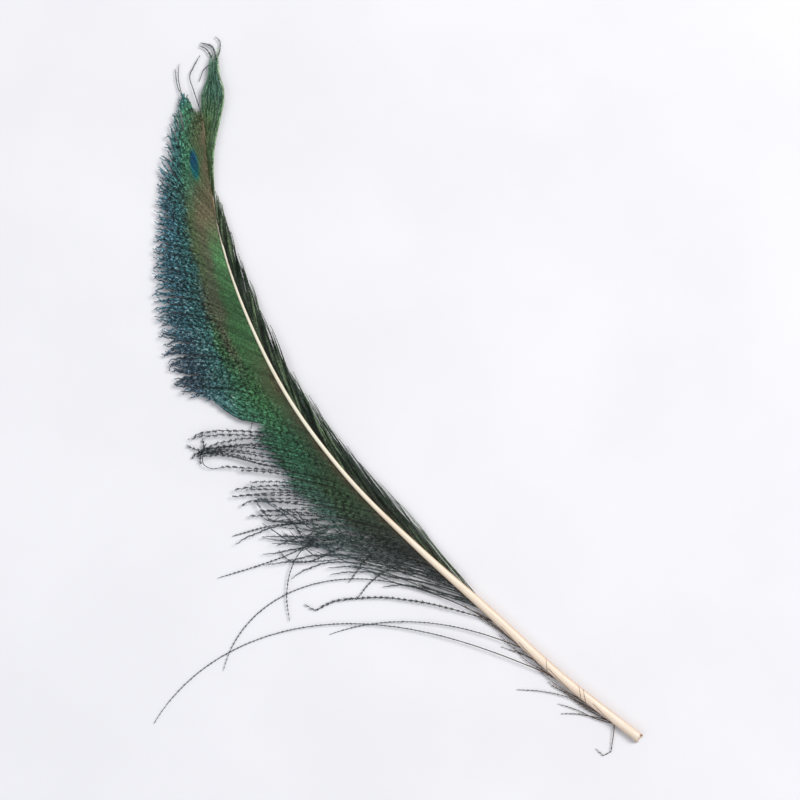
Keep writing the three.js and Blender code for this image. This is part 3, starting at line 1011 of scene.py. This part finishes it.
# LIT_LEAF is a lighter LEAF: a painted highlight on the flat green strip by the shaft.
LIT_LEAF = (88, 142, 90)
MOSS = (80, 134, 88)
JADE = (66, 122, 92)
PINE = (80, 116, 102)
EMERALD = (78, 142, 110)
TEAL = (68, 126, 126)
SEA = (70, 124, 142)
NAVY = (66, 96, 116)
SLATE = (76, 92, 98)
# LIME and REED are lit accents for some strands: a painted highlight on them.
LIME = (140, 174, 130)
REED = (88, 108, 80)
BLUE_SPOT = linear(0, 80, 112)
TEAL_SPOT = linear(10, 116, 114)
SPOT_RIM = linear(52, 118, 92)
WORN = linear(66, 74, 80)
# PALE is the colour of the painted glints on knitted barbs.
PALE = linear(168, 180, 180)

# Colours of barbs: distance along the shaft, then the distance out from it in millimetres
# with the colour there.
OUTER_BANDS = [
    (100, [(0, UMBER), (3, DUSK), (12, DUSK), (20, SLATE)]),
    (130, [(0, UMBER), (3, FERN), (8, FERN), (12, PINE), (18, PINE), (24, SLATE)]),
    (150, [(0, UMBER), (3, FERN), (8, JADE), (14, JADE), (18, TEAL), (23, NAVY)]),
    (170, [(0, UMBER), (3, OLIVE), (8, MOSS), (14, EMERALD), (20, TEAL), (27, NAVY)]),
    (190, [(0, LEAF), (6, LEAF), (9.2, TAUPE), (12, MOSS), (15, TEAL), (24, NAVY)]),
    (202, [(0, LEAF), (4.4, LEAF), (7, TAUPE), (10.5, TAUPE), (14, TEAL), (23, SEA), (31, NAVY)]),
    (216, [(0, LIT_LEAF), (3.2, LIT_LEAF), (5.4, TAUPE), (8.5, OLIVE), (12, TEAL), (20, SEA)]),
    (232, [(0, BRONZE), (5, BRONZE), (8.5, OLIVE), (12, TEAL), (15, SEA), (22, SEA)]),
    (246, [(0, BRONZE), (3, OLIVE), (7, EMERALD), (10, TEAL), (16, SEA)]),
]
INNER_BANDS = [
    (90, [(0, (64, 62, 48)), (4, (44, 56, 46)), (8, (40, 48, 44))]),
    (150, [(0, (26, 34, 26)), (3, (30, 48, 36)), (6, (44, 66, 50))]),
    (210, [(0, (22, 32, 22)), (3, (30, 50, 34)), (6, (46, 74, 48))]),
    (240, [(0, (48, 58, 38)), (3, (62, 86, 54)), (8, (78, 112, 72))]),
]
STRAY_BANDS = [
    (20, [(0, (124, 94, 74)), (8, (102, 90, 78)), (40, (78, 82, 80))]),
    (110, [(0, (76, 74, 64)), (12, (66, 84, 78)), (40, (66, 78, 84))]),
    (250, [(0, (84, 92, 78)), (6, (78, 88, 80)), (40, (74, 84, 82))]),
]
TIP_BANDS = [
    (232, [(0, (100, 104, 70)), (3, (90, 120, 76)), (8, (78, 120, 90))]),
    (256, [(0, (104, 132, 86)), (3, (92, 136, 94)), (10, (80, 130, 108))]),
]

# The shaft's colours: share of its length, and the colour there.
HORN = [
    (0.0, (240, 224, 206)), (0.1, (240, 221, 202)), (0.4, (240, 225, 205)),
    (0.6, (234, 232, 212)), (0.85, (232, 227, 205)), (0.89, (124, 108, 78)),
    (0.96, (84, 76, 48)),
]


def banded(nodes, along, out, bands):
    """The colour at a place: one ramp across the vane for each distance, blended along it."""
    colour = None
    previous = None
    for distance, stops in bands:
        ramp = nodes.ramp(out, [(reach / OUT_SCALE, shade) for reach, shade in stops])
        if colour is None:
            colour = ramp
        else:
            share = nodes.step(along, previous / SHAFT_LENGTH, distance / SHAFT_LENGTH)
            colour = nodes.mix(share, colour, ramp)
        previous = distance
    return colour


def barb_colour(nodes, read, bands, streaks, lit_accent):
    """The bands, a little blurred, then the lit_accent as a painted highlight, the worn parts and the spot
    near the tip.
    """
    along, out, pick, eye = read["along"], read["out"], read["pick"], read["eye"]
    drift = nodes.noise(2, nodes.times(along, 30), nodes.times(out, 3))
    blur = nodes.math("ADD", nodes.line(streaks, 0.10, -0.05), nodes.line(drift, 0.10, -0.05))
    colour = banded(nodes, along, nodes.math("ADD", out, blur), bands)
    if lit_accent:
        # Some barbs take the lighter lit_accent: a painted highlight.
        colour = nodes.mix(nodes.step(pick, 0.6, 1.0), colour, linear(*lit_accent))
    colour = nodes.mix(read["bare"], colour, WORN)
    colour = nodes.mix(nodes.step(eye, 0.02, 0.5), colour, SPOT_RIM)
    upper = nodes.step(along, 243 / SHAFT_LENGTH, 250 / SHAFT_LENGTH)
    spot = nodes.mix(upper, TEAL_SPOT, BLUE_SPOT)
    return nodes.mix(nodes.step(eye, 0.35, 0.8), colour, spot)


def barb_level(nodes, read, streaks, crinkles, facing, darkest):
    """How light a place is, all painted: lighter facing up, by barb and streak, darker towards the
    barbules' ends, and painted shade in the knit's hollows and where its crinkles are unlit.
    """
    knit = read["knit"]
    # unlit and both kinds of hollows are painted shade in the knit.
    unlit = nodes.math("SUBTRACT", 1.0, nodes.step(crinkles, 0.36, 0.62))
    level = nodes.line(facing, 1 - darkest, darkest)
    for factor in (
        nodes.line(read["pick"], 0.5, 0.75),
        nodes.line(read["edge"], -0.32, 1.0),
        nodes.line(streaks, 0.7, 0.65),
        nodes.line(nodes.times(unlit, knit), -0.7, 1.0),
        nodes.hollows(2000, 0.36, 0.62, 0.4, 1.0),
        nodes.hollows(1000, 0.38, 0.54, 0.62, knit),
        nodes.line(knit, 0.95, 1.1),
    ):
        level = nodes.times(level, factor)
    return level


def barb_material(name, bands, darkest, shine=0.45, lit_accent=None):
    """Iridescent barbs: colour bands along the vane, painted lighter where a barbule row faces up.

    Where the barbs look knitted, painted shade in dark hollows and painted pale glints break the
    colour; some barbs take the lighter lit_accent colour, a painted highlight.
    """
    nodes = Nodes(name)
    read = {field: nodes.field(field) for field in Sheaf.FIELDS}
    pick, run, out = read["pick"], read["run"], read["out"]
    streaks = nodes.noise(3, nodes.times(run, 26), nodes.times(pick, 90))
    reach = nodes.line(out, 26, nodes.times(run, 20))
    crinkles = nodes.noise(2, reach, nodes.times(pick, 70), read["edge"])
    # facing is the painted light of a row that faces up, read from its bead.
    facing = nodes.step(read["bead"], 0.12, 0.82)
    # The glints are painted highlights: pale where knitted barbs crinkle, face up and lie far enough out.
    glints = nodes.times(nodes.step(crinkles, 0.5, 0.72, 0.0, 0.5), read["knit"])
    glints = nodes.times(nodes.times(glints, nodes.step(out, 0.2, 0.45)), facing)
    colour = barb_colour(nodes, read, bands, streaks, lit_accent)
    colour = nodes.mix(glints, colour, PALE)
    level = barb_level(nodes, read, streaks, crinkles, facing, darkest)
    grey = nodes.new("CombineColor", (level, level, level)).outputs[0]
    nodes.surface("Base Color", nodes.mix(1.0, colour, grey, "MULTIPLY"))
    nodes.surface("Roughness", nodes.line(streaks, 0.25, 0.34))
    nodes.surface("Metallic", shine)
    place = nodes.new("CombineXYZ", (nodes.times(run, 60), nodes.times(pick, 10))).outputs[0]
    nodes.bump(nodes.pattern("TexWave", place, 1.0, Distortion=1.5), 0.25, 0.0001)
    return nodes.material


def shaft_material():
    """Cream horn with painted shade in tan along its sides, fine lengthwise lines, brown towards the tip.
    """
    nodes = Nodes("shaft_horn")
    along, around = nodes.field("along"), nodes.field("around")
    lines = nodes.noise(4, nodes.times(along, 22), nodes.times(around, 9))
    flecks = nodes.noise(3, nodes.times(along, 160), nodes.times(around, 3), 5.0)
    # The sides are mixed towards tan: painted shade where the round shaft turns away from the light.
    side = nodes.times(nodes.step(around, 0.88, 0.1), 0.62)
    colour = nodes.mix(side, nodes.ramp(along, HORN), linear(176, 136, 104))
    colour = nodes.mix(nodes.step(lines, 0.48, 0.7, 0.0, 0.45), colour, linear(204, 166, 134))
    colour = nodes.mix(nodes.step(flecks, 0.6, 0.78, 0.0, 0.35), colour, linear(150, 116, 82))
    nodes.surface("Base Color", colour)
    nodes.surface("Roughness", nodes.step(lines, 0.2, 0.8, 0.32, 0.5))
    nodes.surface("Subsurface Weight", 0.12)
    nodes.surface("Subsurface Radius", (0.002, 0.0012, 0.0008))
    nodes.bump(lines, 0.35, 0.0001)
    return nodes.material


def floor_material():
    nodes = Nodes("pale_surface")
    mottle = nodes.step(nodes.noise_in_space(14, 4), 0.3, 0.7)
    nodes.surface("Base Color", nodes.mix(mottle, linear(236, 236, 241), linear(241, 241, 246)))
    nodes.surface("Roughness", 0.75)
    return nodes.material


# The scene around the feather

# The photograph looks straight down, with the chord from the cut end to the tip leaning
# this far to the left of upright, and the camera looks at the middle of what it shows.
LEAN = math.atan2(298, 486)
VIEW_MIDDLE = np.array([-9.3, 138.6])
VIEW_WIDTH = 268
LENS = 85
SENSOR = 36
FLOOR_REACH = 3.0


def camera():
    data = bpy.data.cameras.new("camera")
    data.lens = LENS
    data.sensor_width = SENSOR
    data.clip_start = 0.01
    thing = add_object("camera", data)
    middle = (VIEW_MIDDLE + CUT_END) * MM
    thing.location = (middle[0], middle[1], VIEW_WIDTH * MM * LENS / SENSOR)
    thing.rotation_euler = (0, 0, -LEAN)
    bpy.context.scene.camera = thing


def area_light(name, right, up, height, size, power, colour):
    """A round lamp that is aimed at the view's middle, and this far from it in metres."""
    data = bpy.data.lights.new(name, "AREA")
    data.shape = "DISK"
    data.size = size
    data.energy = power
    data.color = colour
    thing = add_object(name, data)
    middle = (VIEW_MIDDLE + CUT_END) * MM
    x = right * math.cos(LEAN) + up * math.sin(LEAN)
    y = -right * math.sin(LEAN) + up * math.cos(LEAN)
    thing.location = (middle[0] + x, middle[1] + y, height)
    aim = np.array([middle[0], middle[1], 0]) - np.array(thing.location)
    yaw = math.atan2(aim[1], aim[0])
    pitch = math.atan2(math.hypot(aim[0], aim[1]), -aim[2])
    thing.rotation_euler = (pitch, 0, yaw - math.pi / 2)


def studio():
    world = bpy.data.worlds.new("studio")
    world.use_nodes = True
    background = world.node_tree.nodes["Background"]
    background.inputs["Color"].default_value = (0.95, 0.97, 1.0, 1.0)
    background.inputs["Strength"].default_value = 0.40
    bpy.context.scene.world = world
    area_light("key", 1.25, 0.8, 1.6, 1.1, 38.0, (1.0, 0.98, 0.95))
    area_light("fill", -0.9, -0.6, 1.1, 1.2, 5.0, (0.95, 0.97, 1.0))
    bpy.context.scene.view_settings.view_transform = "Standard"


def floor():
    far = FLOOR_REACH
    mesh = bpy.data.meshes.new("surface")
    corners = [(-far, -far, 0), (far, -far, 0), (far, far, 0), (-far, far, 0)]
    mesh.from_pydata(corners, [], [(0, 1, 2, 3)])
    mesh.materials.append(floor_material())
    thing = add_object("surface", mesh)


def settle(piece):
    """The piece rides on the feather's body, and the feather's solid is hidden."""
    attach(piece, "root")
    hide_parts(NODE)


camera()
studio()
floor()

outer = barb_material("outer_barbs", OUTER_BANDS, 0.32)
inner = barb_material("inner_barbs", INNER_BANDS, 0.25, lit_accent=REED)
stray = barb_material("stray_barbs", STRAY_BANDS, 0.45, shine=0.15)
tip = barb_material("tip_barbs", TIP_BANDS, 0.35, shine=0.3, lit_accent=LIME)

settle(shaft(shaft_material()))
for zone, start, end, pitch in OUTER_ZONES:
    settle(outer_vane(zone, start, end, pitch, outer))
settle(inner_vane(inner))
settle(stray_barbs(stray))
settle(quill_wisps(stray))
settle(plume(tip))
settle(tip_wisps(stray))
